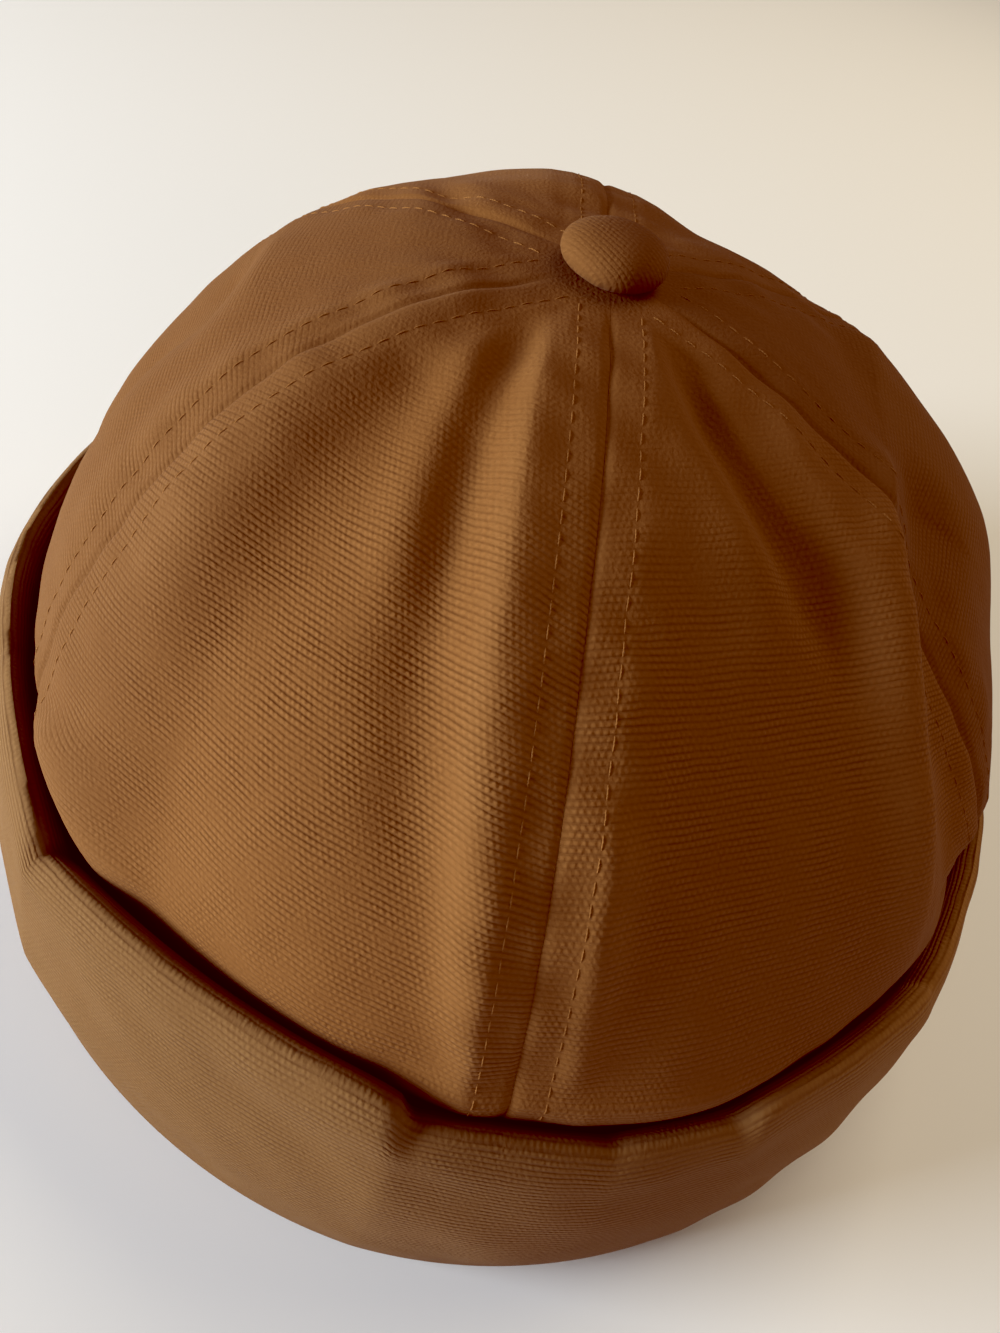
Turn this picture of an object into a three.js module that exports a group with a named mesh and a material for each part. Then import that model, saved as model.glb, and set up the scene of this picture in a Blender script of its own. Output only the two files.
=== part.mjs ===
// A brimless cap: six sewn gore panels, a covered button on top and a turned-up cuff. It stands on the
// fold at the foot of its cuff, with the head's hollow open below. Millimetres and degrees. +Z is up and
// the front faces -Y. Azimuth 0 is the front seam and grows towards +X.
import * as THREE from "three";

// Driving dimensions

const CLOTH = 1.4; // wall of one layer of canvas
const GAP = 0.3; // clearance between neighbouring pieces

const CROWN = {
  halfWidth: 93.8, // at the widest level
  halfDepth: 100.4,
  top: 120,
  widestAt: 54, // height of the widest level
  hemAt: 10, // height of the lower edge, inside the cuff
  hemTuck: 5, // how much the wall draws in from the widest level to the hem
  hemReach: 1.4, // reach of the hem, where 1 is the widest level
  radiusPower: 0.85, // shape of the dome: powers of the sine and cosine
  heightPower: 1.4,
  leanX: -6.2, // how far the top stands off the middle of the base
  leanY: 3.5,
  tipRadius: 3, // hole that the panels' points leave round the button's shank
  meridian: 116, // length over the dome from the tip to the widest level
};

const SEAM = {
  allowance: 8, // width of the turned edge inside each seam
  allowanceCloth: 1.1, // its thickness
  allowanceEdge: 2, // width over which it runs out
  sink: 0.05, // depth of the pull at the seam
  sinkWidth: 2.5,
  puff: 0.25, // height of the swell on both sides of it
  puffAt: 10,
  puffWidth: 4,
};

const CUFF = {
  cloth: 1.6,
  top: 53.2, // height of the upper fold
  girdle: 96.5, // radius of the upper fold
  chord: 0.45, // how flat its runs are between two corners: 0 follows the round, 1 is straight
  stepWidth: 1, // degrees over which one run steps to the next
};

const BUTTON = {
  radius: 8.75,
  height: 6.5,
  edge: 2.6, // height of the roundest part of its rim
  crownPower: 0.7, // roundness of its top: power of the cosine
  shankRadius: 1.8,
  backRadius: 5,
  backThickness: 1,
};

// Panels in order of azimuth, each from its own seam to the next, with the columns of faces across it.
const PANELS = [
  { name: "panel_front_right", columns: 18 },
  { name: "panel_right", columns: 14 },
  { name: "panel_back_right", columns: 10 },
  { name: "panel_back_left", columns: 10 },
  { name: "panel_left", columns: 14 },
  { name: "panel_front_left", columns: 20 },
];

// Folds of the crown. Each bows over the flattened dome along a path of three places, given by azimuth and
// by reach, the share of the way from the tip to the widest level. Out is its height, negative in valleys.
// Slopes are the widths of its left and right side, seen from outside with the button up.
const FOLDS = [
  { name: "front ridge", path: [[-32, 0.07], [-8.7, 0.45], [-2.6, 1.03]], out: 1.7, slopes: [4.4, 3.6] },
  { name: "its long fall", path: [[-32, 0.07], [-8.7, 0.45], [-2.6, 1.03]], out: 2.4, slopes: [5, 19] },
  { name: "front valley", path: [[-40, 0.07], [-22.4, 0.28], [-16.8, 0.5]], out: -2.4, slopes: [5.6, 4.6] },
  { name: "its run down", path: [[-20, 0.43], [-15.5, 0.53], [-12.5, 0.68]], out: -1.1, slopes: [5, 5] },
  { name: "front left crest", path: [[-42, 0.14], [-29.8, 0.29], [-22.8, 0.46]], out: 2.3, slopes: [5, 4.4] },
  { name: "front left hollow", path: [[-42, 0.2], [-39.5, 0.5], [-35, 1.05]], out: -3.4, slopes: [11, 20] },
  { name: "left seam crest", path: [[-62, 0.1], [-51.5, 0.34], [-48, 0.64]], out: 3.9, slopes: [9, 7.6] },
  { name: "left low swell", path: [[-54, 0.86], [-46, 1], [-40, 1.12]], out: 3.4, slopes: [12, 12] },
  { name: "front rim swell", path: [[-10, 1.03], [8, 1.06], [27, 1.04]], out: 2.4, slopes: [8, 11] },
  { name: "right seam crest", path: [[13, 0.2], [6.6, 0.48], [5, 0.86]], out: 0.6, slopes: [4.2, 4.2] },
  { name: "its low end", path: [[5.5, 0.55], [5, 0.74], [5, 0.98]], out: 1, slopes: [2.6, 2.6] },
  { name: "front right hollow", path: [[18, 0.3], [20, 0.6], [24, 0.95]], out: -2.4, slopes: [14, 16] },
  { name: "crest beyond it", path: [[39, 0.08], [25.6, 0.22], [31.5, 0.4]], out: 1.4, slopes: [9, 3.4] },
  { name: "front right valley", path: [[38, 0.07], [29.8, 0.22], [39, 0.46]], out: -3.8, slopes: [3.6, 5.6] },
  { name: "its upper end", path: [[37, 0.05], [31, 0.12], [29.5, 0.22]], out: -3.2, slopes: [6, 8] },
  { name: "front right crest", path: [[54, 0.16], [46.5, 0.33], [44, 0.54]], out: 1.6, slopes: [4.5, 7] },
  { name: "right shoulder", path: [[74, 0.31], [46.5, 0.47], [42, 0.92]], out: 3.2, slopes: [7, 3] },
  { name: "valley behind it", path: [[82, 0.4], [57.5, 0.53], [52, 0.92]], out: -4, slopes: [7, 9] },
  { name: "left back crest", path: [[-80, 0.1], [-66.5, 0.32], [-67, 0.66]], out: 1.2, slopes: [3.6, 2.4] },
  { name: "left dent", path: [[-98, 0.4], [-91, 0.68], [-83, 0.95]], out: -5.4, slopes: [13, 12] },
  { name: "back left pleat", path: [[-110, 0.07], [-122, 0.17], [-138, 0.3]], out: -2, slopes: [5, 5] },
  { name: "back left valley", path: [[-146, 0.2], [-147, 0.4], [-147, 0.6]], out: -0.8, slopes: [9, 9] },
  { name: "back swell", path: [[-165, 0.14], [-170, 0.32], [-172, 0.5]], out: 4.6, slopes: [19, 19] },
  { name: "back tuck", path: [[140, 0.07], [156, 0.13], [165, 0.2]], out: -1.4, slopes: [5, 5] },
  { name: "right back dent", path: [[152, 0.14], [153, 0.32], [154, 0.5]], out: -2, slopes: [9, 9] },
  { name: "right back swell", path: [[110, 0.3], [98, 0.47], [84, 0.68]], out: 4.4, slopes: [17, 17] },
  { name: "right low dent", path: [[60, 0.82], [59, 0.98], [57, 1.15]], out: -4, slopes: [13, 13] },
];

// How a fold swells and dies away along its own length, as shares of it.
const FOLD_TAPER = { starts: -0.05, full: 0.14, fades: 0.7, ends: 1.1 };

// Folds are gathered at the tip: least is the share of height and width left there, up to one reach, and
// from the other reach on they are full.
const FOLD_GATHER = { least: 0.35, starts: 0.1, full: 0.5 };

// Reaches between which the folds swell below the button and die away behind the cuff.
const FOLD_REACH = { starts: 0.05, full: 0.14, fades: 1, ends: 1.15 };

// Corners of the cuff's upper fold, which runs nearly straight between them. Rise and out are how far the
// fold stands above and outside its plain line, and step how much higher the next run starts. Bulk is how
// much the face below swells out. The notch at the corner is as deep as drop and as wide as width, in
// degrees.
const CORNERS = [
  { azimuth: -82, rise: -1.2, step: 0, out: 2, bulk: -1.8, drop: 2, width: 2.2 },
  { azimuth: -68, rise: 0.2, step: 0.4, out: 0.8, bulk: -3.2, drop: 2.6, width: 2.2 },
  { azimuth: -46.5, rise: -0.4, step: -2.2, out: 2.6, bulk: -0.6, drop: 3, width: 2.2 },
  { azimuth: -8, rise: 3.2, step: -4.4, out: 1.4, bulk: 0.3, drop: 2.4, width: 1.8 },
  { azimuth: 10, rise: -4.4, step: 0, out: 0.9, bulk: -0.3, drop: 0.8, width: 1.4 },
  { azimuth: 22.5, rise: -5.4, step: 3.4, out: 0.4, bulk: -0.4, drop: 1.4, width: 1.5 },
  { azimuth: 47, rise: -0.8, step: -1.6, out: 0.5, bulk: -1.6, drop: 2.4, width: 2.2 },
  { azimuth: 76, rise: -5, step: 0, out: 1, bulk: -3, drop: 2, width: 2.5 },
  { azimuth: 112, rise: -3.5, step: 0, out: 2.2, bulk: 0, drop: 2, width: 2.5 },
  { azimuth: 150, rise: -1.5, step: 0, out: 2.3, bulk: 0, drop: 2, width: 2.5 },
  { azimuth: 187, rise: 0, step: 0, out: 3.2, bulk: 0, drop: 2, width: 2.5 },
  { azimuth: 232, rise: -3.5, step: 0, out: 3.6, bulk: -0.5, drop: 2, width: 2.5 },
];

// Middle line of the cuff's cloth, from the edge sewn to the crown's hem, under the foot, up the face,
// over the fold and down the hidden leaf. Out is measured from the crown's wall at the hem. Follow is the
// share that the place takes of the upper fold's rise and straight runs, crisp of its notches, and full of
// the corners' bulk.
const CUFF_LINE = [
  { name: "sewn edge", out: -0.7, up: CROWN.hemAt - GAP, follow: 0, crisp: 0, full: 0 },
  { name: "inner wall", out: -0.7, up: 4.4, follow: 0, crisp: 0, full: 0 },
  { name: "foot inside", out: 0.8, up: 1.7, follow: 0, crisp: 0, full: 0 },
  { name: "foot starts", out: 3, up: CUFF.cloth / 2, follow: 0, crisp: 0, full: 0 },
  { name: "foot ends", out: 12, up: CUFF.cloth / 2, follow: 0, crisp: 0, full: 0.3 },
  { name: "foot outside", out: 14.6, up: 2.8, follow: 0.05, crisp: 0, full: 0.7 },
  { name: "low face", out: 15.7, up: 8.5, follow: 0.15, crisp: 0, full: 1 },
  { name: "middle face", out: 16.4, up: 19, follow: 0.4, crisp: 0, full: 1 },
  { name: "full face", out: 15.4, up: 31, follow: 0.65, crisp: 0, full: 0.9 },
  { name: "high face", out: 13.2, up: 42, follow: 0.85, crisp: 0.06, full: 0.7 },
  { name: "fold outside", out: 11.2, up: 49.5, follow: 1, crisp: 0.65, full: 0.5 },
  { name: "fold top", out: 9, up: CUFF.top - CUFF.cloth / 2, follow: 1, crisp: 1, full: 0.2 },
  { name: "fold inside", out: 7.1, up: 50, follow: 1, crisp: 1, full: 0 },
  { name: "leaf", out: 6.6, up: 44, follow: 0.8, crisp: 0.4, full: 0 },
  { name: "leaf end", out: 5, up: 24, follow: 0.3, crisp: 0, full: 0 },
];

// Mesh fineness
const PANEL_ROWS = 16;
const FOLD_STEPS = 12;
const RUN_SECTIONS = 4; // sections of the cuff between the two sides of a run
const CORNER_SIDE = 2; // degrees from a corner to the section beside it
const BUTTON_SIDES = 24;
const BUTTON_ARC_STEPS = 5;

// Worked-out sizes
const PANEL_ANGLE = 360 / PANELS.length;
const DEPTH_RATIO = CROWN.halfDepth / CROWN.halfWidth;
const HEM_WALL = CROWN.halfWidth - CROWN.hemTuck; // radius of the crown's wall at the hem

const radians = THREE.MathUtils.degToRad;
const smoothstep = THREE.MathUtils.smoothstep;
const bell = (distance, width) => Math.exp(-((distance / width) ** 2));
const { clamp, lerp, euclideanModulo } = THREE.MathUtils;
const turned = (angle) => euclideanModulo(angle + 180, 360) - 180;

// Radius across and height of the plain dome at a reach: 0 is the tip and 1 the widest level.
function domeProfile(reach) {
  const turn = (Math.min(reach, 1) * Math.PI) / 2;
  const below = Math.max(reach - 1, 0) / (CROWN.hemReach - 1);
  const radius = CROWN.halfWidth * Math.sin(turn) ** CROWN.radiusPower - CROWN.hemTuck * below ** 2;
  const rise = (CROWN.top - CROWN.widestAt) * Math.max(Math.cos(turn), 0) ** CROWN.heightPower;
  const height = CROWN.widestAt + rise - (CROWN.widestAt - CROWN.hemAt) * below;
  return { radius, height };
}

// Reach at which the dome has a given radius, above the widest level.
function reachOfRadius(radius) {
  return Math.asin((radius / CROWN.halfWidth) ** (1 / CROWN.radiusPower)) / (Math.PI / 2);
}

function domePoint(azimuth, reach) {
  const { radius, height } = domeProfile(reach);
  const lift = Math.max(height - CROWN.widestAt, 0) / (CROWN.top - CROWN.widestAt);
  const angle = radians(azimuth);
  return new THREE.Vector3(
    radius * Math.sin(angle) + CROWN.leanX * lift,
    -radius * DEPTH_RATIO * Math.cos(angle) + CROWN.leanY * lift,
    height,
  );
}

function domeNormal(azimuth, reach) {
  const step = 0.01;
  const around = domePoint(azimuth + 1, reach).sub(domePoint(azimuth - 1, reach));
  const down = domePoint(azimuth, reach + step).sub(domePoint(azimuth, reach - step));
  return down.cross(around).normalize();
}

// Distance over the cloth to the nearest seam.
function seamDistance(azimuth, reach) {
  const off = euclideanModulo(azimuth, PANEL_ANGLE);
  return domeProfile(reach).radius * radians(Math.min(off, PANEL_ANGLE - off));
}

function flattened(azimuth, reach) {
  const angle = radians(azimuth);
  return new THREE.Vector2(Math.sin(angle), -Math.cos(angle)).multiplyScalar(reach * CROWN.meridian);
}

// A share that swells from 0 to 1 and dies away again, along a table of its four places.
function swellAndFade(value, { starts, full, fades, ends }) {
  return smoothstep(value, starts, full) * (1 - smoothstep(value, fades, ends));
}

// A fold's path over the flattened dome as a row of points, through its three places.
function foldCurve({ path }) {
  const [start, middle, end] = path.map(([azimuth, reach]) => flattened(azimuth, reach));
  const bend = middle.multiplyScalar(2).addScaledVector(start, -0.5).addScaledVector(end, -0.5);
  return new THREE.QuadraticBezierCurve(start, bend, end).getPoints(FOLD_STEPS);
}

const FOLD_CURVES = FOLDS.map((fold) => ({ ...fold, curve: foldCurve(fold) }));

// Height of one fold at a place on the flattened dome, from the nearest stretch of its path.
function foldHeight({ out, slopes, curve }, place) {
  const [left, right] = slopes;
  let nearest = Infinity;
  let slope = left;
  let along = 0;
  for (let step = 0; step < FOLD_STEPS; step += 1) {
    const run = curve[step + 1].clone().sub(curve[step]);
    const offset = place.clone().sub(curve[step]);
    const share = offset.dot(run) / run.lengthSq();
    offset.addScaledVector(run, -clamp(share, 0, 1));
    if (offset.length() < nearest) {
      nearest = offset.length();
      slope = run.cross(offset) > 0 ? right : left;
      const low = step === 0 ? -Infinity : 0;
      const high = step === FOLD_STEPS - 1 ? Infinity : 1;
      along = (step + clamp(share, low, high)) / FOLD_STEPS;
    }
  }
  const { least, starts, full } = FOLD_GATHER;
  const gather = lerp(least, 1, smoothstep(place.length() / CROWN.meridian, starts, full));
  return out * gather * swellAndFade(along, FOLD_TAPER) * bell(nearest, slope * gather);
}

// How far the cloth stands off the plain dome: seams drawn in, swells beside them, and the folds.
function relief(azimuth, reach) {
  const place = flattened(azimuth, reach);
  const seam = seamDistance(azimuth, reach);
  const folds = FOLD_CURVES.reduce((sum, fold) => sum + foldHeight(fold, place), 0);
  const sewn = SEAM.puff * bell(seam - SEAM.puffAt, SEAM.puffWidth) - SEAM.sink * bell(seam, SEAM.sinkWidth);
  return (folds + sewn) * swellAndFade(reach, FOLD_REACH);
}

function wallThickness(azimuth, reach) {
  const inside = SEAM.allowance - SEAM.allowanceEdge / 2;
  const turnedEdge = 1 - smoothstep(seamDistance(azimuth, reach), inside, inside + SEAM.allowanceEdge);
  return CLOTH + SEAM.allowanceCloth * turnedEdge;
}

function crownPoint(azimuth, reach, inside) {
  const depth = inside ? wallThickness(azimuth, reach) : 0;
  const offset = relief(azimuth, reach) - depth;
  return domePoint(azimuth, reach).addScaledVector(domeNormal(azimuth, reach), offset);
}

// A closed body from rings of points: each ring is closed, and the first and last are filled or joined.
function bodyFromRings(rings, joined) {
  const size = rings[0].length;
  const vertices = rings.flat();
  const triangles = [];
  const steps = joined ? rings.length : rings.length - 1;
  for (let ring = 0; ring < steps; ring += 1) {
    const here = ring * size;
    const next = ((ring + 1) % rings.length) * size;
    for (let index = 0; index < size; index += 1) {
      const after = (index + 1) % size;
      triangles.push(here + index, next + index, next + after);
      triangles.push(here + index, next + after, here + after);
    }
  }
  if (!joined) {
    const last = (rings.length - 1) * size;
    const half = size / 2;
    for (let index = 0; index < half - 1; index += 1) {
      const across = size - 1 - index;
      triangles.push(index, index + 1, across);
      triangles.push(index + 1, across - 1, across);
      triangles.push(last + index, last + across, last + index + 1);
      triangles.push(last + index + 1, last + across, last + across - 1);
    }
  }
  const geometry = new THREE.BufferGeometry();
  const positions = vertices.flatMap((vertex) => vertex.toArray());
  geometry.setAttribute("position", new THREE.Float32BufferAttribute(positions, 3));
  geometry.setIndex(triangles);
  geometry.computeVertexNormals();
  return geometry;
}

// Share of the way across a panel, from an even share, with columns closer together beside the seams.
function acrossPanel(even) {
  return (even + (1 - Math.cos(Math.PI * even)) / 2) / 2;
}

// One gore from the tip to the hem: each ring goes across outside and back inside.
function panelGeometry(seamAzimuth, columns) {
  const firstReach = reachOfRadius(CROWN.tipRadius);
  const rings = [];
  for (let row = 0; row <= PANEL_ROWS; row += 1) {
    const reach = lerp(firstReach, CROWN.hemReach, row / PANEL_ROWS);
    const edge = THREE.MathUtils.radToDeg(GAP / 2 / domeProfile(reach).radius);
    const azimuths = Array.from({ length: columns + 1 }, (_, column) =>
      seamAzimuth + lerp(edge, PANEL_ANGLE - edge, acrossPanel(column / columns)));
    const outer = azimuths.map((azimuth) => crownPoint(azimuth, reach, false));
    const inner = azimuths.map((azimuth) => crownPoint(azimuth, reach, true));
    rings.push([...outer, ...inner.reverse()]);
  }
  return bodyFromRings(rings, false);
}

// The run of the cuff's fold that starts at a corner: its two corners and its length in degrees.
function runFrom(corner, index) {
  const next = CORNERS[(index + 1) % CORNERS.length];
  return { from: corner, to: next, length: euclideanModulo(next.azimuth - corner.azimuth, 360) };
}

const RUNS = CORNERS.map(runFrom);

// How much deeper the notches of all corners are at an azimuth.
function notchDrop(azimuth) {
  return CORNERS.reduce((sum, { azimuth: corner, drop, width }) =>
    sum + drop * Math.exp(-Math.abs(turned(azimuth - corner)) / width), 0);
}

// How the cuff stands at a place on a run: course is the rise along the straight runs, bow and bulk how
// far fold and face stand outside their plain line, and notch how far the fold alone rises or sinks at the
// corners.
function cuffPull({ from, to, length }, along) {
  const share = along / length;
  const sagitta = CUFF.girdle * (1 - Math.cos(radians(length / 2)));
  const bow = lerp(from.out, to.out, share) - CUFF.chord * sagitta * 4 * share * (1 - share);
  const bulk = lerp(from.bulk, to.bulk, share);
  const middles = [from, to].map(({ rise, step }) => rise + step / 2);
  const course = lerp(...middles, share);
  const { stepWidth } = CUFF;
  const straight = clamp((along - stepWidth) / (length - 2 * stepWidth), 0, 1);
  const firstStep = Math.max(1 - along / stepWidth, 0) * -from.step / 2;
  const lastStep = Math.max(1 - (length - along) / stepWidth, 0) * to.step / 2;
  const rise = lerp(from.rise + from.step, to.rise, straight) + firstStep + lastStep;
  return { course, bow, bulk, notch: rise - course - notchDrop(from.azimuth + along) };
}

// Middle line of the cuff at a place on a run, as distance out from the crown's wall and height.
function cuffLine(run, along) {
  const { course, bow, bulk, notch } = cuffPull(run, along);
  return CUFF_LINE.map(({ out, up, follow, crisp, full }) =>
    new THREE.Vector2(out + bow * follow + bulk * full, up + course * follow + notch * crisp));
}

// Places of the cuff's sections along a run: its first corner, that corner's side, and on to the next side.
function sectionsAlong({ length }) {
  const steps = RUN_SECTIONS + 1;
  const between = Array.from({ length: steps + 1 }, (_, step) =>
    lerp(CORNER_SIDE, length - CORNER_SIDE, step / steps));
  return [0, ...between];
}

// The line moved sideways by a distance, with mitred corners.
function offsetLine(line, distance) {
  const normal = (from, to) => new THREE.Vector2(to.y - from.y, from.x - to.x).normalize();
  return line.map((point, index) => {
    const before = index > 0 ? normal(line[index - 1], point) : normal(point, line[index + 1]);
    const after = index < line.length - 1 ? normal(point, line[index + 1]) : before;
    const middle = before.clone().add(after).normalize();
    return point.clone().addScaledVector(middle, distance / middle.dot(before));
  });
}

function cuffSection(run, along) {
  const angle = radians(run.from.azimuth + along);
  const line = cuffLine(run, along);
  const outline = [...offsetLine(line, CUFF.cloth / 2), ...offsetLine(line, -CUFF.cloth / 2).reverse()];
  return outline.map(({ x, y }) => new THREE.Vector3(
    (HEM_WALL + x) * Math.sin(angle),
    -(HEM_WALL + x) * DEPTH_RATIO * Math.cos(angle),
    y,
  ));
}

function cuffGeometry() {
  const rings = RUNS.flatMap((run) => sectionsAlong(run).map((along) => cuffSection(run, along)));
  return bodyFromRings(rings, true);
}

// Domed, covered button with its shank and the plain back that holds it inside the crown.
function buttonGeometry() {
  const backTop = -(CLOTH + SEAM.allowanceCloth + 2 * GAP);
  const profile = [
    new THREE.Vector2(0, backTop - BUTTON.backThickness),
    new THREE.Vector2(BUTTON.backRadius, backTop - BUTTON.backThickness),
    new THREE.Vector2(BUTTON.backRadius, backTop),
    new THREE.Vector2(BUTTON.shankRadius, backTop),
    new THREE.Vector2(BUTTON.shankRadius, 0),
  ];
  for (let step = 0; step <= BUTTON_ARC_STEPS; step += 1) {
    const turn = (Math.PI / 2) * (step / BUTTON_ARC_STEPS - 1);
    const radius = BUTTON.radius - BUTTON.edge * (1 - Math.cos(turn));
    profile.push(new THREE.Vector2(radius, BUTTON.edge * (1 + Math.sin(turn))));
  }
  for (let step = 1; step <= BUTTON_ARC_STEPS; step += 1) {
    const turn = (Math.PI / 2) * (step / BUTTON_ARC_STEPS);
    const rise = (BUTTON.height - BUTTON.edge) * Math.sin(turn);
    const radius = step === BUTTON_ARC_STEPS ? 0 : BUTTON.radius * Math.cos(turn) ** BUTTON.crownPower;
    profile.push(new THREE.Vector2(radius, BUTTON.edge + rise));
  }
  return new THREE.LatheGeometry(profile, BUTTON_SIDES).rotateX(Math.PI / 2);
}

function canvas(color) {
  return new THREE.MeshStandardMaterial({ color, roughness: 0.95, metalness: 0 });
}

const cap = new THREE.Group();

PANELS.forEach(({ name, columns }, index) => {
  const panel = new THREE.Mesh(panelGeometry(index * PANEL_ANGLE, columns), canvas(0x8f5f36));
  panel.name = name;
  cap.add(panel);
});

const cuff = new THREE.Mesh(cuffGeometry(), canvas(0x856140));
cuff.name = "cuff";
cap.add(cuff);

const button = new THREE.Mesh(buttonGeometry(), canvas(0x7a4a20));
button.name = "button";
button.position.set(CROWN.leanX, CROWN.leanY, CROWN.top + GAP);
cap.add(button);

export default cap;
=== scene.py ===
"""A brimless cap of brown ribbed canvas: six sewn gores, a covered button and a turned-up cuff.

The cap stands on the foot of its cuff, open side down. Tables of the cloth are in millimetres and
degrees, and the meshes are in metres. The front seam faces -Y, and azimuth grows from it towards
+X. Reach is the share of the way over the dome from its tip to its widest level.
"""

import logging
import math
from dataclasses import astuple, dataclass, field
from enum import Enum

import bpy
import numpy as np
from mathutils import Matrix, Vector


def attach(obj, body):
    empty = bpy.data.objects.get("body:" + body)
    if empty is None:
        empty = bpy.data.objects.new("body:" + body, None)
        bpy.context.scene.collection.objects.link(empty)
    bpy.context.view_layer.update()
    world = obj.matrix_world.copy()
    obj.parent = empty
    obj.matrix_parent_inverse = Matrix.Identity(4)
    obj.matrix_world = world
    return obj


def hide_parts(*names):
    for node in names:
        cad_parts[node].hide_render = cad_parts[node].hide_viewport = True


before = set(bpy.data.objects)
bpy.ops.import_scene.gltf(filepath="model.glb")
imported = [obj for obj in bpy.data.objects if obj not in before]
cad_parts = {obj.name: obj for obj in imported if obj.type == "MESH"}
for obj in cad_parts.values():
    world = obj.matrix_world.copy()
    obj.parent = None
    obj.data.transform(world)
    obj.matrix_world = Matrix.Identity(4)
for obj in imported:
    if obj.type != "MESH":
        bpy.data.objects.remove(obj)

LOG = logging.getLogger("cap")
MM = 0.001
UV_PER_MM = 0.01
BODY = "root"
SHARP_ANGLE = 60
LENGTH_STEPS = 400

Array = np.ndarray
Socket = bpy.types.NodeSocket
Piece = bpy.types.Object
Finish = bpy.types.Material
Colour = tuple[float, float, float, float]
Stops = tuple[float, float, float, float]
Pair = tuple[float, float]


class Edge(Enum):
    """Which of a panel's two seams a line of stitches follows."""

    FIRST = 1
    NEXT = -1


@dataclass(frozen=True)
class Fold:
    """A crest or valley of the crown, in a bow through three places of azimuth and reach.

    The bow lies on the flattened dome. Seen from outside with the button up, left and right are the
    widths of its two slopes in millimetres.
    """

    name: str
    start: Pair
    middle: Pair
    end: Pair
    height: float
    left: float
    right: float


@dataclass(frozen=True)
class Corner:
    """A place where the cuff's upper fold turns a corner between two straight runs.

    Rise and out say how far the fold stands above and outside its plain line there, and step how
    much higher the next run starts. Bulk is how much the face below swells out. The notch between
    the runs is as deep as drop and as wide as width, in degrees.
    """

    azimuth: float
    rise: float
    step: float
    out: float
    bulk: float
    drop: float
    width: float


@dataclass(frozen=True)
class CuffPlace:
    """A place on the middle line of the cuff's cloth.

    Out is counted from the crown's wall at the hem and up from the floor. Follow is its share of the
    upper fold's rise, fall and straight runs, crisp its share of the notches, and full its share of
    the corners' bulk.
    """

    name: str
    out: float
    up: float
    follow: float = 0
    crisp: float = 0
    full: float = 0


@dataclass(frozen=True)
class Gore:
    """One panel: its node, the azimuth of its first seam, and its cloth.

    Grain is how far its ribs turn off its middle and relief how much they show. Shade multiplies the
    panel's colour as painted light above 1 and painted shade below 1, for how the light falls on it.
    Worn is the share of the relief that is lost beside the first seam, where the colour is also
    darkened as painted shade.
    """

    node: str
    seam: float
    grain: float
    relief: float
    shade: float
    worn: float = 0


FOLDS = (
    Fold("front ridge", (-32, 0.07), (-8.7, 0.45), (-2.6, 1.03), 1.7, 4.4, 3.6),
    Fold("its long fall to the right", (-32, 0.07), (-8.7, 0.45), (-2.6, 1.03), 2.4, 5.0, 19),
    Fold("valley left of it", (-40, 0.07), (-22.4, 0.28), (-16.8, 0.50), -2.4, 5.6, 4.6),
    Fold("its run down", (-20, 0.43), (-15.5, 0.53), (-12.5, 0.68), -1.1, 5.0, 5.0),
    Fold("front left crest", (-42, 0.14), (-29.8, 0.29), (-22.8, 0.46), 2.3, 5.0, 4.4),
    Fold("front left hollow", (-42, 0.20), (-39.5, 0.50), (-35, 1.05), -3.4, 11, 20),
    Fold("crest by the left seam", (-62, 0.10), (-51.5, 0.34), (-48, 0.64), 3.9, 9.0, 7.6),
    Fold("left low swell", (-54, 0.86), (-46, 1.0), (-40, 1.12), 3.4, 12, 12),
    Fold("front rim swell", (-10, 1.03), (8, 1.06), (27, 1.04), 2.4, 8, 11),
    Fold("crest right of the front seam", (13, 0.20), (6.6, 0.48), (5, 0.86), 0.6, 4.2, 4.2),
    Fold("its low end", (5.5, 0.55), (5, 0.74), (5, 0.98), 1.0, 2.6, 2.6),
    Fold("front right hollow", (18, 0.30), (20, 0.60), (24, 0.95), -2.4, 14, 16),
    Fold("crest beyond the hollow", (39, 0.08), (25.6, 0.22), (31.5, 0.40), 1.4, 9, 3.4),
    Fold("front right valley", (38, 0.07), (29.8, 0.22), (39, 0.46), -3.8, 3.6, 5.6),
    Fold("its upper end", (37, 0.05), (31, 0.12), (29.5, 0.22), -3.2, 6.0, 8.0),
    Fold("front right crest", (54, 0.16), (46.5, 0.33), (44, 0.54), 1.6, 4.5, 7.0),
    Fold("right shoulder", (74, 0.31), (46.5, 0.47), (42, 0.92), 3.2, 7.0, 3.0),
    Fold("valley behind the shoulder", (82, 0.40), (57.5, 0.53), (52, 0.92), -4.0, 7.0, 9.0),
    Fold("crest behind the left seam", (-80, 0.10), (-66.5, 0.32), (-67, 0.66), 1.2, 3.6, 2.4),
    Fold("left dent", (-98, 0.40), (-91, 0.68), (-83, 0.95), -5.4, 13, 12),
    Fold("back left pleat", (-110, 0.07), (-122, 0.17), (-138, 0.30), -2.0, 5, 5),
    Fold("back left valley", (-146, 0.20), (-147, 0.40), (-147, 0.60), -0.8, 9, 9),
    Fold("back swell", (-165, 0.14), (-170, 0.32), (-172, 0.50), 4.6, 19, 19),
    Fold("back tuck", (140, 0.07), (156, 0.13), (165, 0.20), -1.4, 5, 5),
    Fold("right back dent", (152, 0.14), (153, 0.32), (154, 0.50), -2.0, 9, 9),
    Fold("right back swell", (110, 0.30), (98, 0.47), (84, 0.68), 4.4, 17, 17),
    Fold("right low dent", (60, 0.82), (59, 0.98), (57, 1.15), -4.0, 13, 13),
)

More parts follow.
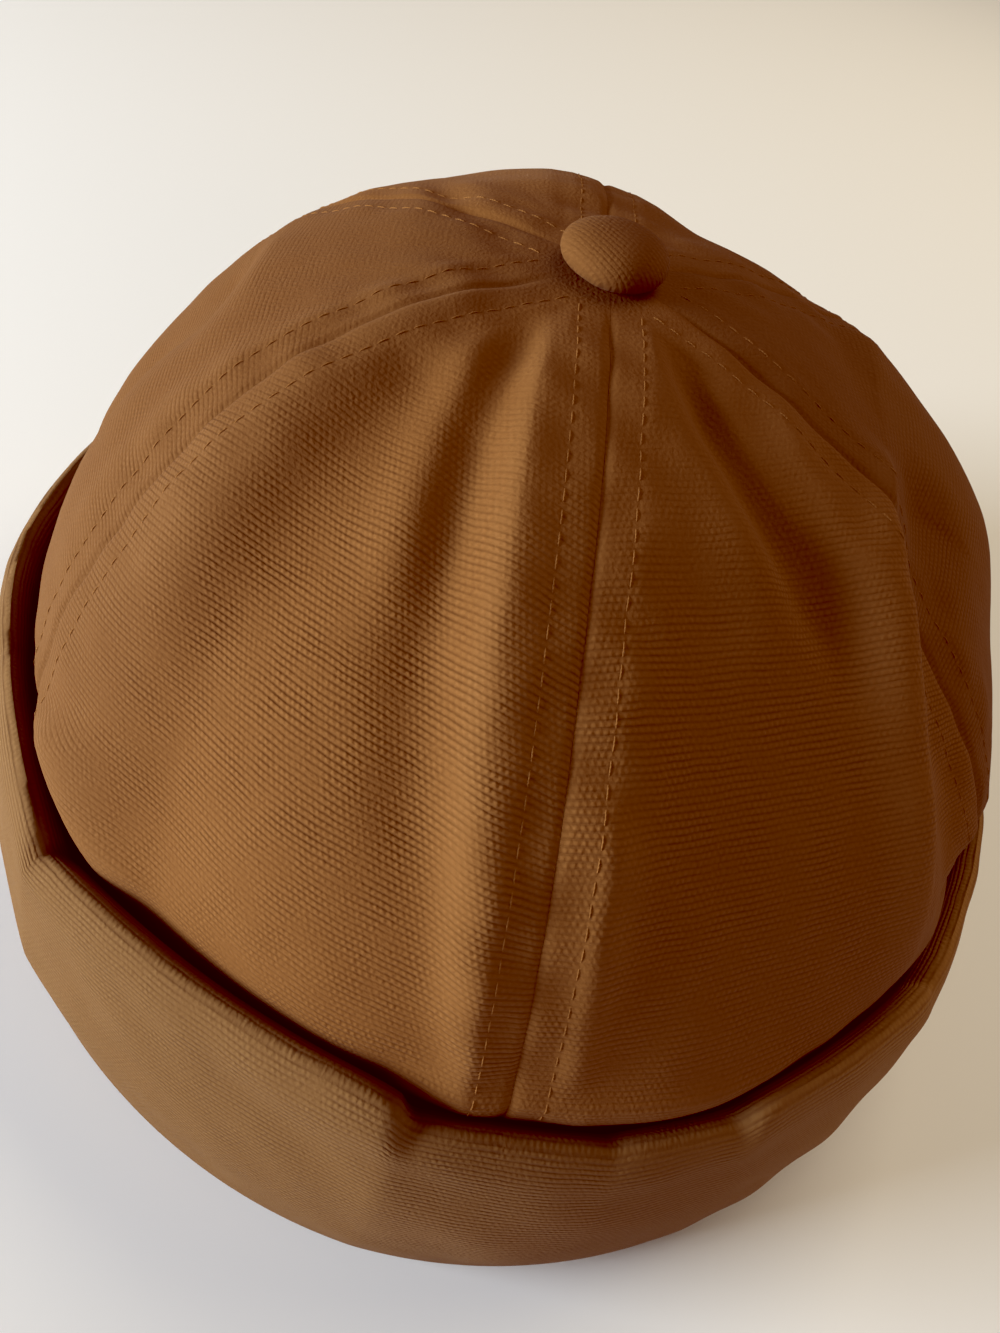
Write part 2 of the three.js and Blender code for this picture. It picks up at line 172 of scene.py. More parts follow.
CORNERS = (
    Corner(-82, -1.2, 0.0, 2.0, -1.8, 2.0, 2.2),
    Corner(-68, 0.2, 0.4, 0.8, -3.2, 2.6, 2.2),
    Corner(-46.5, -0.4, -2.2, 2.6, -0.6, 3.0, 2.2),
    Corner(-8, 3.2, -4.4, 1.4, 0.3, 2.4, 1.8),
    Corner(10, -4.4, 0.0, 0.9, -0.3, 0.8, 1.4),
    Corner(22.5, -5.4, 3.4, 0.4, -0.4, 1.4, 1.5),
    Corner(47, -0.8, -1.6, 0.5, -1.6, 2.4, 2.2),
    Corner(76, -5.0, 0.0, 1.0, -3.0, 2.0, 2.5),
    Corner(112, -3.5, 0.0, 2.2, 0.0, 2.0, 2.5),
    Corner(150, -1.5, 0.0, 2.3, 0.0, 2.0, 2.5),
    Corner(187, 0.0, 0.0, 3.2, 0.0, 2.0, 2.5),
    Corner(232, -3.5, 0.0, 3.6, -0.5, 2.0, 2.5),
)

# Painted light and shade: the shade column lightens or darkens each whole panel's colour for how the
# light falls on it.
GORES = (
    Gore("panel_front_right", 0, -11, 1.0, 1.08),
    Gore("panel_right", 60, 0, 0.6, 0.9),
    Gore("panel_back_right", 120, 0, 0.6, 1.0),
    Gore("panel_back_left", 180, 0, 0.6, 1.04),
    Gore("panel_left", 240, 0, 0.5, 0.86),
    Gore("panel_front_left", 300, 6, 1.4, 1.04, 0.5),
)


def bell(distance: Array, width: float | Array) -> Array:
    """A smooth bump of height 1."""
    return np.exp(-((distance / width) ** 2))


def smoothstep(value: Array, low: float, high: float) -> Array:
    """Rises smoothly from 0 at low to 1 at high."""
    share = np.clip((value - low) / (high - low), 0, 1)
    return share * share * (3 - 2 * share)


def swell_and_fade(value: Array, stops: Stops) -> Array:
    """Rises from 0 to 1 between the first two stops and falls back to 0 between the last two."""
    return smoothstep(value, *stops[:2]) * (1 - smoothstep(value, *stops[2:]))


def at_least(least: float, share: Array) -> Array:
    """A share from 0 to 1 brought between least and 1."""
    return least + (1 - least) * share


def run_along(points: Array) -> Array:
    """The length along a line of flat points at each of them."""
    return np.concatenate([[0], np.cumsum(np.hypot(*np.diff(points, axis=0).T))])


def turned(angle: Array) -> Array:
    """The angle in degrees brought between -180 and 180."""
    return (angle + 180) % 360 - 180


@dataclass(frozen=True)
class Ripple:
    """Small even unevenness of cloth: a few seeded waves through space.

    Height is the usual size of the swell and length the usual distance from crest to crest, in
    millimetres. Spread is the range of the waves' lengths about it.
    """

    seed: int
    height: float
    length: float
    waves: int = 12
    spread: Pair = (0.7, 1.5)

    def at(self, points: Array) -> Array:
        """The swell at some points.

        Args:
            points: places in millimetres, one to a row.

        Returns:
            The height of the swell at each place.
        """
        draw = np.random.default_rng(self.seed)
        ways = draw.normal(size=(self.waves, 3))
        ways /= np.linalg.norm(ways, axis=1, keepdims=True)
        pitch = self.length * draw.uniform(*self.spread, self.waves)
        phase = draw.uniform(0, 2 * math.pi, self.waves)
        swell = np.sin(points @ (ways / pitch[:, None]).T * 2 * math.pi + phase)
        return self.height * swell.sum(axis=1) / math.sqrt(self.waves / 2)


def grid(name: str, columns: int, rows: int) -> tuple[Piece, Array, Array]:
    """Adds a flat grid to be shaped.

    Args:
        name: the piece's name.
        columns: faces across.
        rows: faces along.

    Returns:
        The object, and each vertex's column and row as numbers from 0.
    """
    bpy.ops.object.select_all(action="DESELECT")
    bpy.ops.mesh.primitive_grid_add(x_subdivisions=columns, y_subdivisions=rows, size=1)
    piece = bpy.context.active_object
    piece.name = name
    piece.data.name = name
    flat = points(piece)
    column = np.rint((flat[:, 0] + 0.5) * columns).astype(int)
    row = np.rint((0.5 - flat[:, 1]) * rows).astype(int)
    return piece, column, row


def points(piece: Piece) -> Array:
    """The piece's vertices, one to a row."""
    places = np.empty(len(piece.data.vertices) * 3)
    piece.data.vertices.foreach_get("co", places)
    return places.reshape(-1, 3)


def move(piece: Piece, places_mm: Array) -> None:
    """Moves the piece's vertices to places in millimetres."""
    piece.data.vertices.foreach_set("co", (places_mm * MM).ravel())
    piece.data.update()


def lay_weave(piece: Piece, across: Array, along: Array) -> None:
    """Gives the piece the UV map that its weave follows.

    Args:
        piece: the mesh, not yet thickened.
        across: each vertex's place across the cloth in millimetres.
        along: its place along the cloth.
    """
    layer = piece.data.uv_layers.active or piece.data.uv_layers.new()
    layer.name = "weave"
    corner = np.empty(len(piece.data.loops), dtype=np.int32)
    piece.data.loops.foreach_get("vertex_index", corner)
    places = np.stack([across, along], axis=1)[corner] * UV_PER_MM
    layer.data.foreach_set("uv", places.ravel())


def mark(piece: Piece, name: str, values: Array) -> None:
    """Keeps a number for each vertex that the finish reads."""
    layer = piece.data.attributes.new(name, "FLOAT", "POINT")
    layer.data.foreach_set("value", values.astype(np.float32))


def thicken(
    piece: Piece, thickness_mm: float, offset: float, group: str = "", least: float = 1
) -> None:
    """Gives a sheet its wall.

    Args:
        piece: the sheet.
        thickness_mm: the full wall.
        offset: -1 keeps the sheet as the outer face, 0 as the middle.
        group: a vertex group that says where the wall is full.
        least: the share of the wall where the group is 0.
    """
    wall = piece.modifiers.new("wall", "SOLIDIFY")
    wall.thickness = thickness_mm * MM
    wall.offset = offset
    wall.use_even_offset = False
    wall.vertex_group = group
    wall.thickness_vertex_group = least
    apply(piece, wall)


def pick(piece: Piece) -> None:
    """Makes the piece the active one and selects it alone."""
    bpy.ops.object.select_all(action="DESELECT")
    piece.select_set(True)
    bpy.context.view_layer.objects.active = piece


def apply(piece: Piece, modifier: bpy.types.Modifier) -> None:
    """Applies a modifier to its piece."""
    pick(piece)
    bpy.ops.object.modifier_apply(modifier=modifier.name)


def smooth(piece: Piece, angle: float = SHARP_ANGLE) -> None:
    """Shades the piece smooth, apart from edges sharper than an angle in degrees."""
    pick(piece)
    bpy.ops.object.shade_smooth_by_angle(angle=math.radians(angle))


def outward(piece: Piece, merge_mm: float = 0) -> None:
    """Merges doubled vertices where asked and turns the faces outwards."""
    pick(piece)
    bpy.ops.object.mode_set(mode="EDIT")
    bpy.ops.mesh.select_all(action="SELECT")
    if merge_mm:
        bpy.ops.mesh.remove_doubles(threshold=merge_mm * MM)
    bpy.ops.mesh.normals_make_consistent(inside=False)
    bpy.ops.object.mode_set(mode="OBJECT")


@dataclass(frozen=True)
class Mottle:
    """Noise over the cloth, whose range from low to high becomes least to most."""

    scale: float
    detail: float
    low: float
    high: float
    least: float
    most: float


class Nodes:
    """A material's node tree, with short calls for the nodes that the finishes use."""

    def __init__(self, name: str) -> None:
        """Starts a material with only its shader."""
        self.material = bpy.data.materials.new(name)
        self.material.use_nodes = True
        self.tree = self.material.node_tree
        self.shader = self.tree.nodes["Principled BSDF"]

    def put(self, socket: Socket, value: object) -> None:
        """Sets a socket to a plain value, or links another socket to it."""
        if isinstance(value, Socket):
            self.tree.links.new(value, socket)
        else:
            socket.default_value = value

    def shade(self, name: str, value: object) -> None:
        """Sets or links one of the shader's own sockets."""
        self.put(self.shader.inputs[name], value)

    def add(self, kind: str, result: object, inputs: dict, **settings: object) -> Socket:
        """Adds a node.

        Args:
            kind: its kind, without the usual prefix.
            result: the name or number of the output that is wanted.
            inputs: a value or socket for each named or numbered input.
            settings: the node's own settings.

        Returns:
            The wanted output.
        """
        node = self.tree.nodes.new("ShaderNode" + kind)
        for name, value in settings.items():
            setattr(node, name, value)
        for name, value in inputs.items():
            self.put(node.inputs[name], value)
        return node.outputs[result]

    def math(self, operation: str, first: object, second: object = 0.0) -> Socket:
        """A Math node's result."""
        return self.add("Math", 0, {0: first, 1: second}, operation=operation)

    def uv(self) -> Socket:
        """The weave's UV map."""
        return self.add("UVMap", "UV", {}, uv_map="weave")

    def split(self, vector: Socket) -> tuple[Socket, Socket]:
        """The first two parts of a vector."""
        first = self.add("SeparateXYZ", 0, {0: vector})
        return first, first.node.outputs[1]

    def attribute(self, name: str) -> Socket:
        """A number kept on the vertices."""
        return self.add("Attribute", "Fac", {}, attribute_name=name)

    def mottle(self, vector: Socket, noise: Mottle) -> Socket:
        """A noise texture, brought to a mottle's range."""
        inputs = {"Vector": vector, "Scale": noise.scale, "Detail": noise.detail}
        plain = self.add("TexNoise", 0, inputs)
        return self.ramp(plain, noise.low, noise.high, noise.least, noise.most)

    def ramp(self, value: Socket, low: float, high: float, to_low: float, to_high: float) -> Socket:
        """A Map Range node's result."""
        inputs = {"Value": value, "From Min": low, "From Max": high}
        inputs |= {"To Min": to_low, "To Max": to_high}
        return self.add("MapRange", "Result", inputs)

    def mix(self, share: object, first: object, second: object, blend: str = "MIX") -> Socket:
        """Two colours mixed."""
        inputs = {"Factor": share, "A": first, "B": second}
        return self.add("Mix", "Result", inputs, data_type="RGBA", blend_type=blend)

    def bump(self, height: Socket, distance: float, strength: float) -> None:
        """Puts a bump on the shader."""
        inputs = {"Distance": distance, "Strength": strength, "Height": height}
        self.shade("Normal", self.add("Bump", "Normal", inputs))


@dataclass(frozen=True)
class Canvas:
    """Brown cotton canvas in plain weave, with stout yarns that show as fine ribs.

    Row is the distance from rib to rib and float_length the length of yarn from crossing to
    crossing, in millimetres. Folds are faded where they stand crest_mm or more off the dome.
    """

    name: str
    yarn: Colour = (0.142, 0.065, 0.0165, 1)
    # Painted shade: the hollow colour darkens the furrows between the ribs, where shade falls.
    hollow: Colour = (0.082, 0.036, 0.0085, 1)
    faded: Colour = (0.158, 0.078, 0.024, 1)
    row: float = 0.915
    float_length: float = 0.97
    furrow: float = 2.2
    row_share: float = 0.7
    float_share: float = 0.33
    bump_mm: float = 0.11
    bump_strength: float = 0.75
    wander: Mottle = Mottle(12, 4, 0, 1, -0.4 * UV_PER_MM, 0.4 * UV_PER_MM)
    wander_across: float = 0.8
    wear: Mottle = Mottle(16, 4, 0.3, 0.7, 0.35, 1.5)
    slub: Mottle = Mottle(160, 2, 0.3, 0.7, -0.35, 0.35)
    patch: Mottle = Mottle(3.2, 4, 0.35, 0.7, 0, 0.22)
    depth: Pair = (-1.2, 1)
    crest_mm: float = 2
    crest_share: float = 0.3
    roughness: Pair = (0.98, 0.86)
    specular: float = 0.12
    sheen: float = 0.03
    sheen_roughness: float = 0.45
    sheen_tint: Colour = (0.9, 0.62, 0.4, 1)

    def build(self) -> Finish:
        """Makes the material.

        Returns:
            The node material of this canvas.
        """
        nodes = Nodes(self.name)
        uv = nodes.uv()
        across, along = nodes.split(uv)
        wander = nodes.mottle(uv, self.wander)
        along = nodes.math("ADD", along, wander)
        across = nodes.math("ADD", across, nodes.math("MULTIPLY", wander, self.wander_across))
        turn_along = nodes.math("MULTIPLY", along, 2 * math.pi / (self.row * UV_PER_MM))
        turn_across = nodes.math("MULTIPLY", across, 2 * math.pi / (self.float_length * UV_PER_MM))
        trough = nodes.ramp(nodes.math("COSINE", turn_along), 1, -1, 0, 1)
        rows = nodes.ramp(nodes.math("POWER", trough, self.furrow), 0, 1, 1, -1)
        floats = nodes.math("COSINE", turn_across)
        stagger = nodes.math("COSINE", nodes.math("MULTIPLY", turn_along, 0.5))
        crossing = nodes.math("MULTIPLY", floats, stagger)
        relief = nodes.attribute("relief")
        ribs = nodes.math("MULTIPLY", nodes.math("MULTIPLY", rows, relief), self.row_share)
        knots = nodes.math("MULTIPLY", crossing, nodes.math("SQRT", relief))
        beads = nodes.math("MULTIPLY", knots, self.float_share)
        worn = nodes.mottle(uv, self.wear)
        weave = nodes.math("MULTIPLY", nodes.math("ADD", ribs, beads), worn)
        height = nodes.math("ADD", weave, nodes.mottle(uv, self.slub))
        depth = nodes.ramp(height, *self.depth, 0, 1)
        # Painted shade: the low parts of the weave take the darker hollow colour.
        tone = nodes.mix(depth, self.hollow, self.yarn)
        tone = nodes.mix(nodes.mottle(uv, self.patch), tone, self.faded)
        crest = nodes.ramp(nodes.attribute("crest"), 0, self.crest_mm, 0, self.crest_share)
        tone = nodes.mix(crest, tone, self.faded)
        # Painted light and shade: the colour is multiplied by the shade kept on each vertex.
        tone = nodes.mix(1.0, tone, nodes.attribute("shade"), "MULTIPLY")
        nodes.shade("Base Color", tone)
        nodes.shade("Roughness", nodes.ramp(depth, 0, 1, *self.roughness))
        nodes.bump(height, self.bump_mm * MM, self.bump_strength)
        nodes.shade("Specular IOR Level", self.specular)
        nodes.shade("Sheen Weight", self.sheen)
        nodes.shade("Sheen Roughness", self.sheen_roughness)
        nodes.shade("Sheen Tint", self.sheen_tint)
        return nodes.material


@dataclass(frozen=True)
class Thread:
    """Brown sewing thread, twisted from two plies."""

    name: str
    light: Colour = (0.2, 0.097, 0.0285, 1)
    # Painted shade: this darker colour lies in the grooves between the plies.
    painted_groove_shade: Colour = (0.158, 0.076, 0.0208, 1)
    ply_mm: float = 0.5
    roughness: float = 0.9
    specular: float = 0.12
    bump_mm: float = 0.05
    bump_strength: float = 0.6

    def build(self) -> Finish:
        """Makes the material.

        Returns:
            The node material of the thread.
        """
        nodes = Nodes(self.name)
        around, along = nodes.split(nodes.uv())
        turn = nodes.math("ADD", around, nodes.math("DIVIDE", along, self.ply_mm * UV_PER_MM))
        ply = nodes.math("COSINE", nodes.math("MULTIPLY", turn, 2 * math.pi))
        depth = nodes.ramp(ply, -1, 1, 0, 1)
        nodes.shade("Base Color", nodes.mix(depth, self.painted_groove_shade, self.light))
        nodes.shade("Roughness", self.roughness)
        nodes.shade("Specular IOR Level", self.specular)
        nodes.bump(ply, self.bump_mm * MM, self.bump_strength)
        return nodes.material


@dataclass(frozen=True)
class PaleGround:
    """Plain pale floor."""

    name: str = "pale_ground"
    colour: Colour = (0.8, 0.87, 0.96, 1)
    roughness: float = 0.9

    def build(self) -> Finish:
        """Makes the material.

        Returns:
            The node material of the floor.
        """
        nodes = Nodes(self.name)
        nodes.shade("Base Color", self.colour)
        nodes.shade("Roughness", self.roughness)
        return nodes.material


@dataclass(frozen=True)
class Crown:
    """The shape of the whole crown, which every panel is a gore of."""

    half_width: float = 93.8
    half_depth: float = 100.4
    top: float = 120
    widest_at: float = 54
    hem_at: float = 10
    hem_tuck: float = 5
    radius_power: float = 0.85
    height_power: float = 1.4
    lean: Pair = (-6.2, 3.5)
    tip_radius: float = 3
    meridian: float = 116
    fold_steps: int = 12
    fold_taper: Stops = (-0.05, 0.14, 0.7, 1.1)
    fold_reach: Stops = (0.05, 0.14, 1, 1.15)
    gather_least: float = 0.35
    gather_reach: Pair = (0.1, 0.5)
    hem_reach: float = 1.4
    panel_angle: float = 60
    seam_sink: float = 0.05
    seam_sink_width: float = 2.5
    seam_puff: float = 0.25
    seam_puff_at: float = 10
    seam_puff_width: float = 4
    edge_roll: float = 0.24
    edge_roll_width: float = 0.5
    band_rise: float = 0.2
    band_edges: Stops = (0.3, 1.4, 6, 8.5)
    stitch_at: float = 5
    stitch_sink: float = 0.07
    stitch_sink_width: float = 0.7
    stitch_pitch: float = 2.8
    stitch_pull: float = 0.45
    sewing_reach: Stops = (0.04, 0.09, 1, 1.15)
    rib_pressed: float = 0.12
    rib_rise: Pair = (0.15, 0.5)
    rib_loss: float = 0.42
    rib_fall: Pair = (0.6, 0.95)
    pucker: Ripple = Ripple(seed=5, height=0.16, length=9)
    pucker_least: float = 0.25
    pucker_near: Pair = (6, 14)
    slack: Ripple = Ripple(seed=11, height=0.3, length=42)

    @property
    def depth_ratio(self) -> float:
        """How much deeper the crown is than wide."""
        return self.half_depth / self.half_width

    def profile(self, reach: Array) -> tuple[Array, Array]:
        """The plain dome's radius across and height at a reach."""
        turn = np.minimum(reach, 1) * math.pi / 2
        below = np.maximum(reach - 1, 0) / (self.hem_reach - 1)
        radius = self.half_width * np.sin(turn) ** self.radius_power - self.hem_tuck * below**2
        rise = (self.top - self.widest_at) * np.maximum(np.cos(turn), 0) ** self.height_power
        return radius, self.widest_at + rise - (self.widest_at - self.hem_at) * below

    def reach_of_radius(self, radius: float) -> float:
        """The reach at which the dome has a radius, above the widest level."""
        return math.asin((radius / self.half_width) ** (1 / self.radius_power)) / (math.pi / 2)

    def dome(self, azimuth: Array, reach: Array) -> Array:
        """Points of the plain dome, in millimetres."""
        radius, height = self.profile(reach)
        lift = np.maximum(height - self.widest_at, 0) / (self.top - self.widest_at)
        angle = np.radians(azimuth)
        return np.stack(
            [
                radius * np.sin(angle) + self.lean[0] * lift,
                -radius * self.depth_ratio * np.cos(angle) + self.lean[1] * lift,
                height + 0 * angle,
            ],
            axis=-1,
        )

    def normal(self, azimuth: Array, reach: Array) -> Array:
        """Outward directions of the plain dome."""
        step = 0.01
        around = self.dome(azimuth + 1, reach) - self.dome(azimuth - 1, reach)
        down = self.dome(azimuth, reach + step) - self.dome(azimuth, reach - step)
        out = np.cross(down, around)
        return out / np.linalg.norm(out, axis=-1, keepdims=True)

    def seam_distance(self, azimuth: Array, reach: Array) -> Array:
        """Distance over the cloth to the nearest seam."""
        off = azimuth % self.panel_angle
        return self.profile(reach)[0] * np.radians(np.minimum(off, self.panel_angle - off))

    def flattened(self, azimuth: Array, reach: Array) -> Array:
        """Places on the flattened dome, in millimetres from its tip."""
        angle = np.radians(azimuth)
        way = np.stack([np.sin(angle), -np.cos(angle)], axis=-1)
        return way * np.asarray(reach * self.meridian)[..., None]

    def fold_height(self, fold: Fold, place: Array) -> Array:
        """The height of one fold at places on the flattened dome."""
        stops = (fold.start, fold.middle, fold.end)
        start, middle, end = (self.flattened(np.float64(az), np.float64(at)) for az, at in stops)
        bend = 2 * middle - (start + end) / 2
        share = np.linspace(0, 1, self.fold_steps + 1)[:, None]
        curve = start * (1 - share) ** 2 + 2 * bend * share * (1 - share) + end * share**2
        nearest = np.full(len(place), np.inf)
        along = np.zeros(len(place))
        slope = np.full(len(place), fold.left)
        for step in range(self.fold_steps):
            run = curve[step + 1] - curve[step]
            part = (place - curve[step]) @ run / (run @ run)
            low = -np.inf if step == 0 else 0
            high = np.inf if step == self.fold_steps - 1 else 1
            part = np.clip(part, low, high)
            offset = place - curve[step] - np.clip(part, 0, 1)[:, None] * run
            away = np.linalg.norm(offset, axis=1)
            closer = away < nearest
            nearest = np.where(closer, away, nearest)
            right = run[0] * offset[:, 1] - run[1] * offset[:, 0] > 0
            slope = np.where(closer, np.where(right, fold.right, fold.left), slope)
            along = np.where(closer, (step + part) / self.fold_steps, along)
        taper = swell_and_fade(along, self.fold_taper)
        reach = np.linalg.norm(place, axis=1) / self.meridian
        gather = at_least(self.gather_least, smoothstep(reach, *self.gather_reach))
        return fold.height * gather * taper * bell(nearest, slope * gather)

    def folds(self, azimuth: Array, reach: Array) -> Array:
        """The height of all the folds and of the swells beside the seams."""
        place = self.flattened(azimuth, reach)
        seam = self.seam_distance(azimuth, reach)
        height = sum(self.fold_height(fold, place) for fold in FOLDS)
        height = height + self.seam_puff * bell(seam - self.seam_puff_at, self.seam_puff_width)
        height = height - self.seam_sink * bell(seam, self.seam_sink_width)
        return height * swell_and_fade(reach, self.fold_reach)

    def sewing(self, azimuth: Array, reach: Array, points: Array) -> Array:
        """The fine relief of sewn cloth: rolled edges, raised seam bands, stitch lines and puckers."""
        seam = self.seam_distance(azimuth, reach)
        length = self.length(reach)
        band = swell_and_fade(seam, self.band_edges)
        pull = 1 + self.stitch_pull * np.cos(length * 2 * math.pi / self.stitch_pitch)
        near = 1 - smoothstep(seam, *self.pucker_near)
        fine = self.band_rise * band
        fine = fine - self.edge_roll * bell(seam, self.edge_roll_width)
        fine = fine - self.stitch_sink * pull * bell(seam - self.stitch_at, self.stitch_sink_width)
        fine = fine + self.pucker.at(points) * at_least(self.pucker_least, near)
        return (fine + self.slack.at(points)) * swell_and_fade(reach, self.sewing_reach)

    def surface(self, azimuth: Array, reach: Array) -> tuple[Array, Array, Array]:
        """The cloth's outer face.

        Args:
            azimuth: degrees from the front seam.
            reach: share of the way from the tip to the widest level.

        Returns:
            Points in millimetres, outward directions, and how far folds stand off the plain dome.
        """
        plain = self.dome(azimuth, reach)
        out = self.normal(azimuth, reach)
        folds = self.folds(azimuth, reach)
        offset = folds + self.sewing(azimuth, reach, plain)
        return plain + out * offset[..., None], out, folds

    def rib_relief(self, reach: Array) -> Array:
        """How much of the ribs' relief shows: most on the slopes, least where the cloth is flat."""
        shown = at_least(self.rib_pressed, smoothstep(reach, *self.rib_rise))
        return shown * (1 - self.rib_loss * smoothstep(reach, *self.rib_fall))

    def length(self, reach: Array) -> Array:
        """Length over the dome from the tip, along the front."""
        steps = np.linspace(0, self.hem_reach, LENGTH_STEPS)
        return np.interp(reach, steps, run_along(np.stack(self.profile(steps), axis=1)))

    def reach_of_length(self, length: Array) -> Array:
        """The reach at a length over the dome."""
        steps = np.linspace(0, self.hem_reach, LENGTH_STEPS)
        return np.interp(length, self.length(steps), steps)


@dataclass
class CrownPanel:
    """One gore of canvas, with its turned seam edges and its two lines of topstitching."""

    gore: Gore
    crown: Crown
    cloth: float = 1.4
    allowance: float = 8
    allowance_cloth: float = 1.1
    gap: float = 0.02
    row_step: float = 0.7
    hidden_rows: int = 14
    shown_reach: float = 1.12
    inner_columns: int = 60
    edge_stops: tuple[float, ...] = (
        *(0, 0.25, 0.55, 0.95, 1.5, 2.2, 3, 3.8),
        *(4.4, 5, 5.6, 6.3, 7.3, 8.6, 10.2),
    )
    edge_room: float = 3.2
    # The band beside the first seam where the relief is lessened and the colour darkened as painted
    # shade, and the least share of the colour left there.
    worn_and_painted_shade_edge: Pair = (4, 26)
    seam_painted_shade: float = 0.65
    thread: float = 0.23
    stitch_rings: int = 7
    stitch_sides: int = 6
    stitch_from_radius: float = 8.5
    stitch_to_reach: float = 1.06
    stitch_start: float = 0.08
    stitch_share: float = 0.84
    stitch_room: float = 0.42
    stitch_rise: float = 0.2
    stitch_round: float = 0.6
    stitch_sunk: float = 0.14
    end_thick: float = 0.55
    end_round: float = 0.4

    def reaches(self) -> Array:
        """The reach of each row, close where the cloth shows and wide where the cuff hides it."""
        first = self.crown.reach_of_radius(self.crown.tip_radius)
        ends = self.crown.length(np.array([first, self.shown_reach]))
        rows = round(float(ends[1] - ends[0]) / self.row_step)
        shown = self.crown.reach_of_length(np.linspace(ends[0], ends[1], rows + 1))
        hidden = np.linspace(self.shown_reach, self.crown.hem_reach, self.hidden_rows + 1)[1:]
        return np.concatenate([shown, hidden])

    def azimuths(self, reach: float) -> Array:
        """The azimuth of each column on a row, at set places by the seams and even between."""
        radius = float(self.crown.profile(np.float64(reach))[0])
        width = radius * math.radians(self.crown.panel_angle) - 2 * self.gap
        stops = np.array(self.edge_stops) * min(1, width / (self.edge_room * self.edge_stops[-1]))
        middle = np.linspace(stops[-1], width - stops[-1], self.inner_columns + 1)[1:-1]
        across = np.concatenate([stops, middle, width - stops[::-1]])
        return self.gore.seam + np.degrees((across + self.gap) / radius)

    def weave(self, azimuth: Array, reach: Array) -> tuple[Array, Array]:
        """Places on the cut cloth, whose ribs run straight across the gore."""
        middle = self.gore.seam + self.crown.panel_angle / 2 + self.gore.grain
        off = np.radians(azimuth - middle)
        turn = np.minimum(reach, 1) * math.pi / 2
        along = np.arctan2(np.sin(turn) * np.cos(off), np.cos(turn)) / (math.pi / 2)
        across = self.crown.profile(reach)[0] * off
        return across, self.crown.length(along + np.maximum(reach - 1, 0))

    def build(self, canvas: Finish, thread: Finish) -> None:
        """Makes the panel and its stitches and dresses them."""
        reaches = self.reaches()
        azimuths = np.array([self.azimuths(reach) for reach in reaches])
        columns, rows = azimuths.shape[1] - 1, len(reaches) - 1
        name = self.gore.node + "_cloth"
        panel, column, row = grid(name, columns, rows)
        reach, azimuth = reaches[row], azimuths[row, column]
        places, _, folds = self.crown.surface(azimuth, reach)
        move(panel, places)
        lay_weave(panel, *self.weave(azimuth, reach))
        mark(panel, "crest", folds)
        # Beside the first seam the ribs' relief is lessened and the colour is darkened as painted
        # shade; the panel's shade also paints its light and shade.
        worn = 1 - self.gore.worn * (1 - smoothstep(azimuth - self.gore.seam, *self.worn_and_painted_shade_edge))
        mark(panel, "relief", self.gore.relief * worn * self.crown.rib_relief(reach))
        mark(panel, "shade", self.gore.shade * at_least(self.seam_painted_shade, worn))
        outward(panel)
        self.turn_out(panel)
        seam = self.crown.seam_distance(azimuth, reach)
        full = panel.vertex_groups.new(name="allowance")
        for index in np.flatnonzero(seam < self.allowance):
            full.add([int(index)], 1.0, "REPLACE")
        wall = self.cloth + self.allowance_cloth
        thicken(panel, wall, -1, "allowance", self.cloth / wall)
        smooth(panel)
        panel.data.materials.append(canvas)
        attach(panel, BODY)
        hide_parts(self.gore.node)
        self.declare(reaches)
        for piece in (panel, self.stitches(thread)):
            LOG.info("%s: %d faces", piece.name, len(piece.data.polygons))

    def turn_out(self, panel: Piece) -> None:
        """Turns an open sheet's faces out of the dome where the operator chose the inside."""
        face = panel.data.polygons[len(panel.data.polygons) // 2]
        inside = Vector((0, 0, self.crown.widest_at * MM))
        if face.normal.dot(face.center - inside) < 0:
            panel.data.flip_normals()

    def declare(self, reaches: Array) -> None:
        lengths = self.crown.length(reaches)
        angle = math.radians(self.crown.panel_angle)
        widths = self.crown.profile(reaches)[0] * angle * math.sqrt(self.crown.depth_ratio)

    def stitches(self, thread: Finish) -> Piece:
        """Makes the two lines of topstitching as one joined mesh of short, sunk tubes."""
        crown = self.crown
        first = crown.length(np.float64(crown.reach_of_radius(self.stitch_from_radius)))
        last = crown.length(np.float64(self.stitch_to_reach))
        pitch = crown.stitch_pitch
        starts = np.arange(math.ceil(first / pitch), math.floor(last / pitch))
        share = np.linspace(0, 1, self.stitch_rings)
        length = (starts[:, None] + self.stitch_start + self.stitch_share * share[None, :]) * pitch
        reach = crown.reach_of_length(length)
        radius = crown.profile(reach)[0]
        bow = np.sin(math.pi * share)
        rise = self.stitch_rise * bow**self.stitch_round - self.stitch_sunk + 0 * length
        thick = self.thread / 2 * at_least(self.end_thick, bow**self.end_round)
        turns = np.arange(self.stitch_sides) / self.stitch_sides
        angle = 2 * math.pi * turns[:, None]
        tubes = []
        for edge in Edge:
            seam = self.gore.seam + (0 if edge is Edge.FIRST else crown.panel_angle)
            room = radius * math.radians(crown.panel_angle) * self.stitch_room
            at = np.minimum(crown.stitch_at, room)
            azimuth = seam + edge.value * np.degrees(at / radius)
            middle, out, _ = crown.surface(azimuth.ravel(), reach.ravel())
            middle = middle + out * rise.reshape(-1, 1)
            middle = middle.reshape(length.shape + (3,))
            out = out.reshape(middle.shape)
            along = np.gradient(middle, axis=1)
            along /= np.linalg.norm(along, axis=-1, keepdims=True)
            side = np.cross(along, out)
            ring = side[:, :, None] * np.cos(angle) + out[:, :, None] * np.sin(angle)
            tubes.append(middle[:, :, None] + ring * thick[:, None, None])
        twist = np.stack(np.broadcast_arrays(turns / UV_PER_MM, length[..., None]), axis=-1)
        return self.joined(np.concatenate(tubes), np.concatenate([twist, twist]), thread)

